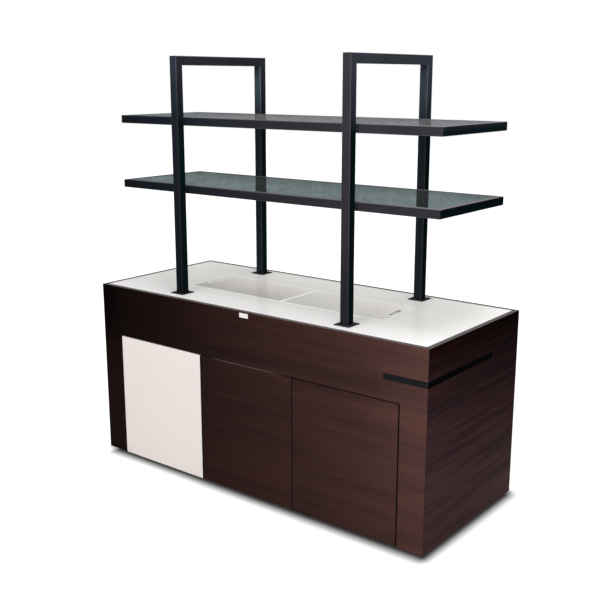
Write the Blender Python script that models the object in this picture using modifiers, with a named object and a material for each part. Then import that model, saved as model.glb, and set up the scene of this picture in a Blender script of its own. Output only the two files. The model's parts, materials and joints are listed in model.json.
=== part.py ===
"""Back bar for a cafe or bar.

A long cabinet of dark boards with three flush doors that open at a push, a white top
with two lift-off lids over steel wells, and two square-tube hoops on the top that carry
two framed glass shelves.

Metres, +Z up. The origin is on the floor under the middle of the cabinet. +X runs along
the front to the right, and the front faces -Y.
"""

import math

import bmesh
import bpy
from mathutils import Matrix, Vector

# Clearances and facets
FIT = 0.0003  # between pieces that touch
CUT_PAST = 0.010  # how far a cutter reaches past the face it cuts
ROUND_SIDES = 16
CORNER_STEPS = 2

# Cabinet shell
LENGTH = 2.000  # over the end boards
DEPTH = 0.830  # over the front and back boards
BOARD_HEIGHT = 0.920  # of the outer boards
FLOOR_GAP = 0.006  # under the outer boards
SHELL_BOARD = 0.025  # thickness of the outer boards
INNER_BOARD = 0.018  # thickness of the boards inside

# Doorway and doors
STILE = 0.133  # width of the front board beside the doors
BAND = 0.262  # height of the front board over the doors
DOOR_GAP = 0.004  # round and between the doors
DOOR_RECESS = 0.003  # how much thinner a door is than the front board
DOOR_SKIN = 0.005  # left in front of a hinge notch
SIDE_STEP = 0.0005  # the bay sides stand this far behind the doorway's edge

# Pivot hinges
HINGE_FROM_END = 0.090  # from the door's top and bottom to the hinges
SWEEP_ROOM = 0.0008  # kept beside the door's edge as it turns
TONGUE_WIDTH = 0.0064
TONGUE_HEIGHT = 0.010
HINGE_PIN_RADIUS = 0.0025
HINGE_PIN_HOLD = 0.015  # in the door, above and below the tongue
EYE_WALL = 0.0027  # round the pin
NOTCH_PLAY = 0.001  # between tongue and notch
FLANGE_SHEET = 0.005
FLANGE_LENGTH = 0.046

# Push latches
LATCH_WIDTH = 0.020
LATCH_HEIGHT = 0.040
LATCH_DEPTH = 0.060
LATCH_FROM_EDGE = 0.045  # from the door's free edge
LATCH_STANDOFF = 0.008  # from the door's back
PLUNGER_RADIUS = 0.004
PLUNGER_HOLD = 0.025  # inside the latch at rest
PLUNGER_TRAVEL = 0.004

# Inside the cabinet
BOTTOM_RISE = 0.026  # from the outer boards' lower edge to the bottom board
CEILING_STEP = 0.006  # from the doorway's upper edge to the bay ceiling
BAY_SHELF_HEIGHT = 0.290  # over the bottom board
BAY_SHELF_SETBACK = 0.060  # behind the front board
HOUSING = INNER_BOARD / 3  # how far a bay shelf is let into the bay sides
BEARER_BOARD = 0.036  # thickness of the boards that carry the top and the posts

# Levelling feet
FOOT_RADIUS = 0.022
FOOT_PAD = 0.008
FOOT_STEM_RADIUS = 0.005
FOOT_STEM_HOLD = INNER_BOARD * 2 / 3  # in the bottom board
FOOT_NUT_RADIUS = 0.009
FOOT_NUT_HEIGHT = 0.006
FOOT_INSET = 0.080

# White top, lids and wells
LID_BAY_LENGTH = 1.210  # both lids together
LID_BAY_DEPTH = 0.310
LID_BOARD = 0.012
LID_SEAM = 0.001
LID_REST = 0.015  # width of the ledge that carries the lids
LID_LEDGE = 0.010  # thickness of that ledge
LID_BRIDGE = 0.030  # left of the top between the wells
SLOT_LENGTH = 0.100
SLOT_WIDTH = 0.018
SLOT_FROM_EDGE = 0.037  # from the lid's outer edge to the middle of its finger slot
PAN_SHEET = 0.002
PAN_PLAY = 0.001
PAN_OVER_CEILING = 0.053

# Trim on the front
STRIP_HEIGHT = 0.027
STRIP_SHEET = 0.003
STRIP_PROUD = 0.0005
STRIP_FRONT_RUN = 0.218
STRIP_SIDE_RUN = 0.567
STRIP_DROP = 0.142  # from the top to the strip
LABEL_LENGTH = 0.054
LABEL_HEIGHT = 0.022
LABEL_SHEET = 0.001
LABEL_DROP = 0.007  # from the top to the label

# Hoops on the top
POST = 0.044  # side of the square tube
TUBE_WALL = 0.002
TUBE_CORNER = 0.003
HOOP_FROM_END = 0.488  # from the cabinet's end to the middle of the hoop
POST_FROM_FRONT = 0.089
POST_FROM_BACK = 0.075
BASE_PLATE = 0.084
BASE_PLATE_SHEET = 0.004

# Glass shelves
COUNTER_TO_SHELF = 0.506  # from the top to the lower shelf's underside
SHELF_PITCH = 0.332
SHELF_TO_HOOP_TOP = 0.291  # from the upper shelf's top to the hoop's top
SHELF_OVERHANG = 0.416  # past the posts
RAIL_HEIGHT = 0.040
RAIL_WIDTH = 0.025
LUG_WIDTH = 0.060
LUG_SHEET = 0.004
LUG_STEP = 0.001  # the lugs end this far inside the rail's height, above and below
GLASS = 0.010
GLASS_PLAY = 0.0015
GLASS_DROP = 0.001  # from the rail's top to the glass
LEDGE_WIDTH = 0.014
LEDGE_SHEET = 0.003

# Planes of the cabinet
TOP = FLOOR_GAP + BOARD_HEIGHT
FRONT = -DEPTH / 2
BACK = DEPTH / 2
END = LENGTH / 2
INSIDE_END = END - SHELL_BOARD - FIT
INSIDE_FRONT = FRONT + SHELL_BOARD + FIT
INSIDE_BACK = BACK - SHELL_BOARD - FIT
BOTTOM_LOW = FLOOR_GAP + BOTTOM_RISE
BOTTOM_HIGH = BOTTOM_LOW + INNER_BOARD
DOORWAY_HALF = END - STILE
DOORWAY_TOP = TOP - BAND
CEILING_LOW = DOORWAY_TOP + CEILING_STEP
CEILING_HIGH = CEILING_LOW + INNER_BOARD

# Doors and their hinges
DOORS = (("white", -1), ("middle", -1), ("right", 1))  # name, side of the hinge along X
DOOR_WIDTH = (2 * DOORWAY_HALF - (len(DOORS) + 1) * DOOR_GAP) / len(DOORS)
DOOR_BOARD = SHELL_BOARD - DOOR_RECESS
DOOR_LOW = FLOOR_GAP
DOOR_HIGH = DOORWAY_TOP - DOOR_GAP
DOOR_BACK = FRONT + DOOR_BOARD
PIVOT_Y = FRONT + DOOR_BOARD / 2
SWEEP = DOOR_GAP - SWEEP_ROOM  # how far the turning edge may swing past its place
PIVOT_INSET = ((DOOR_BOARD / 2) ** 2 - SWEEP**2) / (2 * SWEEP)
EYE_RADIUS = HINGE_PIN_RADIUS + EYE_WALL
ARM_BACK = math.hypot(PIVOT_INSET, DOOR_BOARD / 2) + SWEEP_ROOM  # from the axis to the arm
FLANGE_FACE = -(PIVOT_INSET + DOOR_GAP + SIDE_STEP)  # from the axis to the bay side
HINGE_LEVELS = (("lower", DOOR_LOW + HINGE_FROM_END), ("upper", DOOR_HIGH - HINGE_FROM_END))
NOTCH_HALF = TONGUE_HEIGHT / 2 + NOTCH_PLAY

# Bays: the faces of their sides and the shelf in them
BAY_SIDE_FACE = DOORWAY_HALF + SIDE_STEP
DIVIDER_FACE = -DOORWAY_HALF + DOOR_WIDTH + DOOR_GAP - SIDE_STEP
BAY_SHELF_LOW = BOTTOM_HIGH + BAY_SHELF_HEIGHT
BAY_SHELF_FRONT = INSIDE_FRONT + BAY_SHELF_SETBACK
BAYS = (
    ("small", -BAY_SIDE_FACE, DIVIDER_FACE - INNER_BOARD),
    ("wide", DIVIDER_FACE, BAY_SIDE_FACE),
)

# Hoops
HOOP_X = END - HOOP_FROM_END
POST_FRONT = FRONT + POST_FROM_FRONT
POST_BACK = BACK - POST_FROM_BACK
PLATE_LOW = TOP + FIT
PLATE_HIGH = PLATE_LOW + BASE_PLATE_SHEET
ROWS = (("front", POST_FRONT + POST / 2, 1), ("back", POST_BACK - POST / 2, -1))
SIDES = (("left", -1), ("right", 1))

# Shelves
LOWER_SHELF = TOP + COUNTER_TO_SHELF
UPPER_SHELF = LOWER_SHELF + SHELF_PITCH
HOOP_TOP = UPPER_SHELF + RAIL_HEIGHT + SHELF_TO_HOOP_TOP
SHELVES = (("lower", LOWER_SHELF), ("upper", UPPER_SHELF))
SHELF_END = HOOP_X + POST / 2 + SHELF_OVERHANG
SHELF_FRONT = POST_FRONT + POST + LUG_SHEET + FIT
SHELF_BACK = POST_BACK - POST - LUG_SHEET - FIT
GLASS_LIFT = RAIL_HEIGHT - GLASS_DROP - GLASS  # from the rail's underside to the glass
LEDGE_LIFT = GLASS_LIFT - FIT - LEDGE_SHEET

# Lids and wells, centred between the front and back posts
LID_Y = (POST_FRONT + POST_BACK) / 2
LID_BAY_END = LID_BAY_LENGTH / 2
LID_BAY_FRONT = LID_Y - LID_BAY_DEPTH / 2
LID_BAY_BACK = LID_Y + LID_BAY_DEPTH / 2
LID_LOW = TOP - LID_BOARD
PAN_HIGH = LID_LOW - FIT
FLANGE_LOW = PAN_HIGH - PAN_SHEET
LEDGE_HIGH = FLANGE_LOW - FIT
COUNTER_LOW = LEDGE_HIGH - LID_LEDGE
PAN_LOW = CEILING_HIGH + PAN_OVER_CEILING

# Finishes: colour, roughness, metallic
FINISHES = {
    "dark_laminate": ((0.045, 0.020, 0.017), 0.35, 0.0),
    "white_laminate": ((0.80, 0.76, 0.73), 0.35, 0.0),
    "white_top": ((0.83, 0.82, 0.81), 0.18, 0.0),
    "inner_board": ((0.62, 0.60, 0.57), 0.50, 0.0),
    "raw_timber": ((0.45, 0.33, 0.21), 0.65, 0.0),
    "black_tube": ((0.030, 0.028, 0.034), 0.42, 0.0),
    "black_steel": ((0.035, 0.035, 0.038), 0.40, 0.8),
    "black_strip": ((0.020, 0.021, 0.024), 0.35, 0.6),
    "label_white": ((0.85, 0.84, 0.82), 0.40, 0.0),
    "tinted_glass": ((0.30, 0.38, 0.37), 0.05, 0.0),
    "stainless": ((0.60, 0.61, 0.62), 0.30, 1.0),
    "zinc_steel": ((0.55, 0.55, 0.54), 0.35, 1.0),
    "grey_plastic": ((0.30, 0.30, 0.31), 0.50, 0.0),
    "black_rubber": ((0.02, 0.02, 0.02), 0.80, 0.0),
}


def clear_scene():
    """Removes the objects that the scene starts with."""
    for thing in list(bpy.data.objects):
        bpy.data.objects.remove(thing, do_unlink=True)


def new_collection(name):
    made = bpy.data.collections.new(name)
    bpy.context.scene.collection.children.link(made)
    return made


clear_scene()
PIECES = new_collection("back_bar")
CUTTERS = new_collection("cutters")


def add_finish(piece, kind):
    """Gives a piece its own Principled material."""
    colour, roughness, metallic = FINISHES[kind]
    material = bpy.data.materials.new(piece.name)
    material.use_nodes = True
    shader = material.node_tree.nodes["Principled BSDF"]
    shader.inputs["Base Color"].default_value = (*colour, 1.0)
    shader.inputs["Roughness"].default_value = roughness
    shader.inputs["Metallic"].default_value = metallic
    piece.data.materials.append(material)


def file_in(piece, collection):
    for home in list(piece.users_collection):
        home.objects.unlink(piece)
    collection.objects.link(piece)


def keep(piece, name, kind):
    """Names a finished object and files it with the pieces."""
    piece.name = name
    piece.data.name = name
    file_in(piece, PIECES)
    add_finish(piece, kind)
    return piece


def as_cutter(piece, name):
    """Files an object with the cutters, drawn as wire and never rendered."""
    piece.name = name
    file_in(piece, CUTTERS)
    piece.hide_render = True
    piece.display_type = "WIRE"
    return piece


def bare_block(low, high):
    """A box between two corners, with its scale applied."""
    low, high = Vector(low), Vector(high)
    bpy.ops.mesh.primitive_cube_add(size=1.0, location=(low + high) / 2)
    made = bpy.context.object
    made.scale = high - low
    bpy.ops.object.transform_apply(location=False, rotation=False, scale=True)
    return made


def block(name, low, high, kind):
    return keep(bare_block(low, high), name, kind)


def combine(piece, other, operation):
    change = piece.modifiers.new(operation.title(), "BOOLEAN")
    change.operation = operation
    change.solver = "EXACT"
    change.object = other


def cut(piece, cutter):
    combine(piece, cutter, "DIFFERENCE")


def cut_block(piece, name, low, high):
    cut(piece, as_cutter(bare_block(low, high), name))


def join_block(piece, name, low, high):
    combine(piece, as_cutter(bare_block(low, high), name), "UNION")


def linked(mesh, place):
    made = bpy.data.objects.new(mesh.name, mesh)
    made.matrix_world = place
    bpy.context.scene.collection.objects.link(made)
    return made


def mesh_of(thing):
    """The evaluated mesh of an object, welded, after which the object is removed."""
    bpy.context.view_layer.update()
    graph = bpy.context.evaluated_depsgraph_get()
    mesh = bpy.data.meshes.new_from_object(thing.evaluated_get(graph))
    shape = bmesh.new()
    shape.from_mesh(mesh)
    bmesh.ops.remove_doubles(shape, verts=shape.verts, dist=0.00001)
    bmesh.ops.recalc_face_normals(shape, faces=shape.faces)
    shape.to_mesh(mesh)
    shape.free()
    bpy.data.objects.remove(thing, do_unlink=True)
    return mesh


def slab_mesh(outlines, thickness):
    """A flat outline, with any holes in it, extruded along Z about its middle."""
    curve = bpy.data.curves.new("outline", "CURVE")
    curve.dimensions = "2D"
    curve.fill_mode = "BOTH"
    curve.extrude = thickness / 2
    for outline in outlines:
        spline = curve.splines.new("POLY")
        spline.points.add(len(outline) - 1)
        for point, (x, y) in zip(spline.points, outline):
            point.co = (x, y, 0.0, 1.0)
        spline.use_cyclic_u = True
    thing = bpy.data.objects.new("outline", curve)
    bpy.context.scene.collection.objects.link(thing)
    return mesh_of(thing)


def turned_mesh(profile):
    """A profile of (radius, height) from top to bottom, turned about Z."""
    mesh = bpy.data.meshes.new("profile")
    points = [(radius, 0.0, height) for radius, height in profile]
    mesh.from_pydata(points, [(i, i + 1) for i in range(len(points) - 1)], [])
    turn = linked(mesh, Matrix.Identity(4)).modifiers.new("Turn", "SCREW")
    turn.axis = "Z"
    turn.steps = ROUND_SIDES
    turn.render_steps = ROUND_SIDES
    turn.use_merge_vertices = True
    turn.merge_threshold = 0.00005
    return mesh_of(turn.id_data)


def rod_mesh(radius, low, high):
    return turned_mesh([(0.0, high), (radius, high), (radius, low), (0.0, low)])


def smooth(mesh):
    """Shades a mesh smooth, but not across its sharp edges."""
    mesh.shade_smooth()
    mesh.set_sharp_from_angle(angle=math.radians(50))
    return mesh


def at(x, y, z):
    return Matrix.Translation((x, y, z))


def turn_about(axis, degrees):
    return Matrix.Rotation(math.radians(degrees), 4, axis)


def arc(centre, radius, start, end, steps):
    """Points along an arc, with its angles in degrees."""
    angles = [math.radians(start + (end - start) * i / steps) for i in range(steps + 1)]
    return [(centre[0] + radius * math.cos(a), centre[1] + radius * math.sin(a)) for a in angles]


def rectangle(width, height):
    x, y = width / 2, height / 2
    return [(-x, -y), (x, -y), (x, y), (-x, y)]


def rounded_rectangle(width, height, radius):
    """A rectangle centred on the origin, with its corners as arcs."""
    x, y = width / 2 - radius, height / 2 - radius
    corners = ((x, y, 0), (-x, y, 90), (-x, -y, 180), (x, -y, 270))
    points = []
    for corner_x, corner_y, start in corners:
        points += arc((corner_x, corner_y), radius, start, start + 90, CORNER_STEPS)
    return points


def pivot(name, place):
    """An empty on a joint's axis, for a moving piece to hang from."""
    made = bpy.data.objects.new(name, None)
    made.location = place
    made.empty_display_size = 0.05
    PIECES.objects.link(made)
    return made


def hang(piece, parent):
    piece.parent = parent
    piece.matrix_parent_inverse = Matrix.Translation(parent.location).inverted()


# Outer boards and trim


def mitred_board(name, length, middle, degrees):
    """An upright board that faces -Y before it is turned, shorter on its inner face."""
    half, thick, tall = length / 2, SHELL_BOARD / 2, BOARD_HEIGHT / 2
    board = bare_block((-half, -thick, -tall), (half, thick, tall))
    for vertex in board.data.vertices:
        if vertex.co.y > 0:
            vertex.co.x -= math.copysign(SHELL_BOARD, vertex.co.x)
    board.matrix_world = at(*middle, FLOOR_GAP + tall) @ turn_about("Z", degrees)
    return keep(board, name, "dark_laminate")


def corner_outline(out, bed, play):
    """An L in plan round the front right corner, from `out` before the faces to `bed`
    behind them, with `play` added at its two ends.
    """
    left = END - STRIP_FRONT_RUN - play
    back = FRONT + STRIP_SIDE_RUN + play
    return [
        (left, FRONT - out),
        (END + out, FRONT - out),
        (END + out, back),
        (END - bed, back),
        (END - bed, FRONT + bed),
        (left, FRONT + bed),
    ]


def outer_boards():
    across = LENGTH - 2 * FIT
    along = DEPTH - 2 * FIT
    inset = SHELL_BOARD / 2
    front = mitred_board("front_frame", across, (0, FRONT + inset), 0)
    cut_block(
        front,
        "doorway",
        (-DOORWAY_HALF, FRONT - CUT_PAST, FLOOR_GAP - CUT_PAST),
        (DOORWAY_HALF, FRONT + SHELL_BOARD + CUT_PAST, DOORWAY_TOP),
    )
    right = mitred_board("right_end_panel", along, (END - inset, 0), 90)
    mitred_board("left_end_panel", along, (-END + inset, 0), -90)
    mitred_board("back_panel", across, (0, BACK - inset), 180)
    bed = STRIP_SHEET - STRIP_PROUD
    level = at(0, 0, TOP - STRIP_DROP - STRIP_HEIGHT / 2)
    room = slab_mesh([corner_outline(CUT_PAST, bed + FIT, FIT)], STRIP_HEIGHT + 2 * FIT)
    groove = as_cutter(linked(room, level), "strip_groove")
    cut(front, groove)
    cut(right, groove)
    strip = slab_mesh([corner_outline(STRIP_PROUD, bed, 0)], STRIP_HEIGHT)
    keep(linked(strip, level), "corner_strip", "black_strip")


def label_plate():
    high = TOP - LABEL_DROP
    block(
        "label_plate",
        (-LABEL_LENGTH / 2, FRONT - FIT - LABEL_SHEET, high - LABEL_HEIGHT),
        (LABEL_LENGTH / 2, FRONT - FIT, high),
        "label_white",
    )


# Inside of the cabinet


def foot_places():
    x = INSIDE_END - FOOT_INSET
    rows = (("front", INSIDE_FRONT + FOOT_INSET), ("back", INSIDE_BACK - FOOT_INSET))
    return [(f"{row}_{side}_foot", sign * x, y) for side, sign in SIDES for row, y in rows]


def bottom_and_feet():
    """The bottom board, and the feet that screw into it from below."""
    bottom = block(
        "bottom_board",
        (-INSIDE_END, INSIDE_FRONT, BOTTOM_LOW),
        (INSIDE_END, INSIDE_BACK, BOTTOM_HIGH),
        "inner_board",
    )
    cut_block(
        bottom,
        "door_swing_room",
        (-DOORWAY_HALF, INSIDE_FRONT - CUT_PAST, BOTTOM_LOW - CUT_PAST),
        (DOORWAY_HALF, PIVOT_Y + ARM_BACK, BOTTOM_HIGH + CUT_PAST),
    )
    nut_high = BOTTOM_LOW - FIT
    nut_low = nut_high - FOOT_NUT_HEIGHT
    stem_high = BOTTOM_LOW + FOOT_STEM_HOLD - FIT
    profile = [
        (0.0, stem_high),
        (FOOT_STEM_RADIUS, stem_high),
        (FOOT_STEM_RADIUS, nut_high),
        (FOOT_NUT_RADIUS, nut_high),
        (FOOT_NUT_RADIUS, nut_low),
        (FOOT_STEM_RADIUS, nut_low),
        (FOOT_STEM_RADIUS, FOOT_PAD),
        (FOOT_RADIUS, FOOT_PAD / 2),
        (FOOT_RADIUS, 0.0),
        (0.0, 0.0),
    ]
    for name, x, y in foot_places():
        hole = rod_mesh(FOOT_STEM_RADIUS + FIT, BOTTOM_LOW - CUT_PAST, stem_high + FIT)
        cut(bottom, as_cutter(linked(hole, at(x, y, 0)), f"{name}_hole"))
        foot = linked(smooth(turned_mesh(profile)), at(x, y, 0))
        keep(foot, name, "grey_plastic")


def bays():
    """The boards round the two bays, and a shelf let into the sides of each."""
    block(
        "bay_ceiling",
        (-INSIDE_END, INSIDE_FRONT, CEILING_LOW),
        (INSIDE_END, INSIDE_BACK, CEILING_HIGH),
        "inner_board",
    )
    low, high = BOTTOM_HIGH + FIT, CEILING_LOW - FIT
    lefts = {
        "left_bay_side": -BAY_SIDE_FACE - INNER_BOARD,
        "bay_divider": DIVIDER_FACE - INNER_BOARD,
        "right_bay_side": BAY_SIDE_FACE,
    }
    uprights = [
        block(name, (x, INSIDE_FRONT, low), (x + INNER_BOARD, INSIDE_BACK, high), "inner_board")
        for name, x in lefts.items()
    ]
    shelf_high = BAY_SHELF_LOW + INNER_BOARD
    for index, (name, left, right) in enumerate(BAYS):
        left, right = left - HOUSING, right + HOUSING
        block(
            f"{name}_bay_shelf",
            (left + FIT, BAY_SHELF_FRONT, BAY_SHELF_LOW),
            (right - FIT, INSIDE_BACK, shelf_high),
            "inner_board",
        )
        room = bare_block(
            (left, BAY_SHELF_FRONT - FIT, BAY_SHELF_LOW - FIT),
            (right, INSIDE_BACK + CUT_PAST, shelf_high + FIT),
        )
        housing = as_cutter(room, f"{name}_bay_housing")
        cut(uprights[index], housing)
        cut(uprights[index + 1], housing)


def bearers():
    """Boards on edge over the bays, under the posts, that carry the top."""
    for name, y, _ in ROWS:
        block(
            f"{name}_top_bearer",
            (-INSIDE_END, y - BEARER_BOARD / 2, CEILING_HIGH + FIT),
            (INSIDE_END, y + BEARER_BOARD / 2, COUNTER_LOW - FIT),
            "raw_timber",
        )


# Doors, hinges, latches


def door_edges(index):
    left = -DOORWAY_HALF + DOOR_GAP + index * (DOOR_WIDTH + DOOR_GAP)
    return left, left + DOOR_WIDTH


def hinge_mesh():
    """The upright outline of a left-hand hinge in plan, with its axis at the origin:
    a flange on the bay side, an arm clear of the door's sweep and a tongue to the axis.
    """
    left = FLANGE_FACE + FIT
    half = TONGUE_WIDTH / 2
    lean = math.degrees(math.asin(half / EYE_RADIUS))
    arm_high = ARM_BACK + FLANGE_SHEET
    outline = [(left, ARM_BACK + FLANGE_LENGTH), (left, ARM_BACK), (-half, ARM_BACK)]
    outline += arc((0, 0), EYE_RADIUS, 90 + lean, 450 - lean, ROUND_SIDES)
    outline += [
        (half, arm_high),
        (left + FLANGE_SHEET, arm_high),
        (left + FLANGE_SHEET, ARM_BACK + FLANGE_LENGTH),
    ]
    return slab_mesh([outline], TONGUE_HEIGHT)


def hinged_door(index):
    """One flush door, with the two hinges whose pins it turns on."""
    name, side = DOORS[index]
    left, right = door_edges(index)
    edge = left if side < 0 else right
    axis = edge - side * PIVOT_INSET
    kind = "white_laminate" if name == "white" else "dark_laminate"
    door = block(f"{name}_door", (left, FRONT, DOOR_LOW), (right, DOOR_BACK, DOOR_HIGH), kind)
    notch = sorted((edge + side * CUT_PAST, axis - side * (EYE_RADIUS + NOTCH_PLAY)))
    hold = NOTCH_HALF + HINGE_PIN_HOLD
    for row, level in HINGE_LEVELS:
        cut_block(
            door,
            f"{name}_{row}_notch",
            (notch[0], FRONT + DOOR_SKIN, level - NOTCH_HALF),
            (notch[1], DOOR_BACK + CUT_PAST, level + NOTCH_HALF),
        )
        place = at(axis, PIVOT_Y, level)
        hole = rod_mesh(HINGE_PIN_RADIUS + FIT, -hold, hold)
        cut(door, as_cutter(linked(hole, place), f"{name}_{row}_pin_hole"))
        handed = place @ turn_about("Y", 180 if side > 0 else 0)
        hinge = keep(linked(hinge_mesh(), handed), f"{name}_{row}_hinge", "zinc_steel")
        pin = linked(rod_mesh(HINGE_PIN_RADIUS, -hold + FIT, hold - FIT), place)
        combine(hinge, as_cutter(pin, f"{name}_{row}_pin"), "UNION")
    hang(door, pivot(f"{name}_door_axis", (axis, PIVOT_Y, DOOR_LOW)))


def push_latch(index):
    """A latch under the bay ceiling, with a plunger against the door's free end."""
    name, side = DOORS[index]
    left, right = door_edges(index)
    x = right - LATCH_FROM_EDGE if side < 0 else left + LATCH_FROM_EDGE
    front = DOOR_BACK + LATCH_STANDOFF
    high = CEILING_LOW - FIT
    half = LATCH_WIDTH / 2
    body = block(
        f"{name}_latch",
        (x - half, front, high - LATCH_HEIGHT),
        (x + half, front + LATCH_DEPTH, high),
        "grey_plastic",
    )
    outwards = at(x, front, high - LATCH_HEIGHT / 2) @ turn_about("X", 90)
    bore = rod_mesh(PLUNGER_RADIUS + FIT, -PLUNGER_HOLD - PLUNGER_TRAVEL - FIT, CUT_PAST)
    cut(body, as_cutter(linked(bore, outwards), f"{name}_latch_bore"))
    tip = LATCH_STANDOFF - FIT
    nose = PLUNGER_RADIUS / 2
    profile = [
        (0.0, tip),
        (nose, tip),
        (PLUNGER_RADIUS, tip - nose),
        (PLUNGER_RADIUS, -PLUNGER_HOLD),
        (0.0, -PLUNGER_HOLD),
    ]
    plunger = linked(smooth(turned_mesh(profile)), outwards)
    keep(plunger, f"{name}_latch_plunger", "black_rubber")


# White top, wells and lids


def well_opening(sign):
    """The corners in plan of the hole over the well on one side."""
    xs = sorted((sign * LID_BRIDGE / 2, sign * (LID_BAY_END - LID_REST)))
    return xs[0], LID_BAY_FRONT + LID_REST, xs[1], LID_BAY_BACK - LID_REST


def countertop():
    top = block(
        "countertop",
        (-INSIDE_END, INSIDE_FRONT, COUNTER_LOW),
        (INSIDE_END, INSIDE_BACK, TOP),
        "white_top",
    )
    cut_block(
        top,
        "lid_recess",
        (-LID_BAY_END, LID_BAY_FRONT, LEDGE_HIGH),
        (LID_BAY_END, LID_BAY_BACK, TOP + CUT_PAST),
    )
    for side, sign in SIDES:
        left, front, right, back = well_opening(sign)
        cut_block(
            top,
            f"{side}_well_opening",
            (left, front, COUNTER_LOW - CUT_PAST),
            (right, back, TOP + CUT_PAST),
        )


def well(side, sign):
    """A steel pan that hangs by its flange from the ledge in the top."""
    name = f"{side}_well"
    xs = sorted((sign * PAN_PLAY / 2, sign * (LID_BAY_END - PAN_PLAY)))
    pan = block(
        name,
        (xs[0], LID_BAY_FRONT + PAN_PLAY, FLANGE_LOW),
        (xs[1], LID_BAY_BACK - PAN_PLAY, PAN_HIGH),
        "stainless",
    )
    left, front, right, back = well_opening(sign)
    low = (left + PAN_PLAY, front + PAN_PLAY, PAN_LOW)
    high = (right - PAN_PLAY, back - PAN_PLAY, (FLANGE_LOW + PAN_HIGH) / 2)
    join_block(pan, f"{name}_body", low, high)
    cut_block(
        pan,
        f"{name}_hollow",
        (low[0] + PAN_SHEET, low[1] + PAN_SHEET, low[2] + PAN_SHEET),
        (high[0] - PAN_SHEET, high[1] - PAN_SHEET, PAN_HIGH + CUT_PAST),
    )


def lid(side, sign):
    """A white lid that lifts off, with a finger slot near its outer end."""
    name = f"{side}_lid"
    xs = sorted((sign * LID_SEAM / 2, sign * (LID_BAY_END - LID_SEAM)))
    board = block(
        name,
        (xs[0], LID_BAY_FRONT + LID_SEAM, LID_LOW),
        (xs[1], LID_BAY_BACK - LID_SEAM, TOP),
        "white_top",
    )
    end = SLOT_WIDTH / 2
    straight = SLOT_LENGTH / 2 - end
    outline = arc((0, straight), end, 0, 180, ROUND_SIDES // 2)
    outline += arc((0, -straight), end, 180, 360, ROUND_SIDES // 2)
    slot = slab_mesh([outline], LID_BOARD + 2 * CUT_PAST)
    x = sign * (LID_BAY_END - LID_SEAM - SLOT_FROM_EDGE)
    place = at(x, LID_Y, LID_LOW + LID_BOARD / 2)
    cut(board, as_cutter(linked(slot, place), f"{name}_slot"))
    hang(board, pivot(f"{name}_lift", ((xs[0] + xs[1]) / 2, LID_Y, LID_LOW)))


# Hoops on the top


def square_tube(name, length, section, place, inwards, ends):
    """A hollow tube along Z before it is placed. The ends named by their sign are
    mitred, and `inwards` is the way across the section to the tube's shorter side.
    """
    width, height = section
    outer = rounded_rectangle(width, height, TUBE_CORNER)
    inner = rectangle(width - 2 * TUBE_WALL, height - 2 * TUBE_WALL)
    mesh = slab_mesh([outer, inner], length)
    across_x, across_y = inwards
    half = (abs(across_x) * width + abs(across_y) * height) / 2
    for vertex in mesh.vertices:
        end = math.copysign(1, vertex.co.z)
        if end in ends:
            vertex.co.z -= end * (vertex.co.x * across_x + vertex.co.y * across_y + half)
    return keep(linked(smooth(mesh), place), name, "black_tube")


def hoop(side, sign):
    """A front post, a back post and a bar between their tops. The posts stand on base
    plates and have a lug welded on for each shelf.
    """
    x = sign * HOOP_X
    low, high = PLATE_HIGH + FIT, HOOP_TOP - FIT
    plate = BASE_PLATE / 2
    lug = LUG_WIDTH / 2
    for row, y, inwards in ROWS:
        block(
            f"{row}_{side}_base_plate",
            (x - plate, y - plate, PLATE_LOW),
            (x + plate, y + plate, PLATE_HIGH),
            "black_steel",
        )
        name = f"{row}_{side}_post"
        place = at(x, y, (low + high) / 2)
        post = square_tube(name, high - low, (POST, POST), place, (0, inwards), (1,))
        face = y + inwards * POST / 2
        near, far = sorted((face - inwards * TUBE_WALL / 2, face + inwards * LUG_SHEET))
        for shelf, rail_low in SHELVES:
            join_block(
                post,
                f"{name}_{shelf}_lug",
                (x - lug, near, rail_low + LUG_STEP),
                (x + lug, far, rail_low + RAIL_HEIGHT - LUG_STEP),
            )
    span = POST_BACK - POST_FRONT - 2 * FIT
    place = at(x, LID_Y, HOOP_TOP - POST / 2) @ turn_about("X", -90)
    square_tube(f"{side}_top_bar", span, (POST, POST), place, (0, 1), (1, -1))


# Glass shelves


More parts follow.
